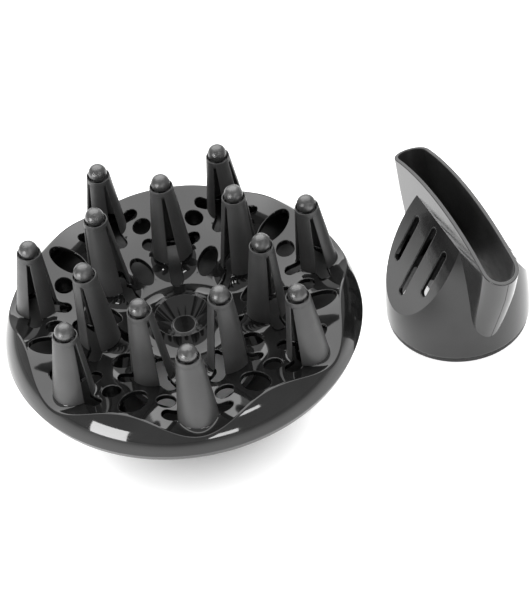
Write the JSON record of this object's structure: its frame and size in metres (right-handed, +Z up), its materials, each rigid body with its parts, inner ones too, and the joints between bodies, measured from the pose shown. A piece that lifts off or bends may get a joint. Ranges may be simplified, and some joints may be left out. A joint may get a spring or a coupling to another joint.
{
  "type": "hair dryer attachment set",
  "caption": "Finger diffuser with slotted, ball-tipped fingers on a lobed dish, and a flat-mouthed concentrator nozzle that swivels on its collar; both slip over a hair dryer's barrel.",
  "frame": {"origin": "on the diffuser's axis, at the mouth of its socket, in the plane both pieces stand on", "axes": "+Z up along the diffuser's axis, out of its fingers; -Y towards one outer finger; the nozzle stands at +X"},
  "size_m": [0.232, 0.1532, 0.0969],
  "materials": {
    "plate_gloss": "mirror-gloss black plastic",
    "shell_plastic": "satin dark grey plastic",
    "screw_steel": "blackened steel",
    "finger_matte": "soft-touch matte dark grey",
    "tip_satin": "grained satin mid grey",
    "collar_plastic": "satin dark grey, grooved",
    "nozzle_gloss": "mirror-gloss black plastic"
  },
  "bodies": {
    "diffuser": {"front_plate": "plate_gloss", "plate_hub": "plate_gloss", "screw_wells": "plate_gloss", "rear_funnel": "shell_plastic", "rear_socket": "shell_plastic", "plate_screws": "screw_steel", "finger_outer_1": "finger_matte", "finger_outer_2": "finger_matte", "finger_outer_3": "finger_matte", "finger_outer_4": "finger_matte", "finger_outer_5": "finger_matte", "finger_outer_6": "finger_matte", "finger_outer_7": "finger_matte", "finger_inner_1": "finger_matte", "finger_inner_2": "finger_matte", "finger_inner_3": "finger_matte", "finger_inner_4": "finger_matte", "finger_inner_5": "finger_matte", "finger_inner_6": "finger_matte", "finger_inner_7": "finger_matte", "tip_outer_1": "tip_satin", "tip_outer_2": "tip_satin", "tip_outer_3": "tip_satin", "tip_outer_4": "tip_satin", "tip_outer_5": "tip_satin", "tip_outer_6": "tip_satin", "tip_outer_7": "tip_satin", "tip_inner_1": "tip_satin", "tip_inner_2": "tip_satin", "tip_inner_3": "tip_satin", "tip_inner_4": "tip_satin", "tip_inner_5": "tip_satin", "tip_inner_6": "tip_satin", "tip_inner_7": "tip_satin"},
    "nozzle_ring": {"nozzle_collar": "collar_plastic"},
    "nozzle_body": {"nozzle_dome": "nozzle_gloss", "nozzle_mouth": "nozzle_gloss", "nozzle_wings": "nozzle_gloss"}
  },
  "joints": [
    {"name": "nozzle_lift", "type": "slide", "parent": "diffuser", "child": "nozzle_ring", "axis": [0, 0, 1], "range_m": [0, 0.12]},
    {"name": "nozzle_swivel", "type": "hinge", "parent": "nozzle_ring", "child": "nozzle_body", "pos_m": [0.123, 0.0231, 0.01], "axis": [0, 0, 1], "continuous": true}
  ]
}
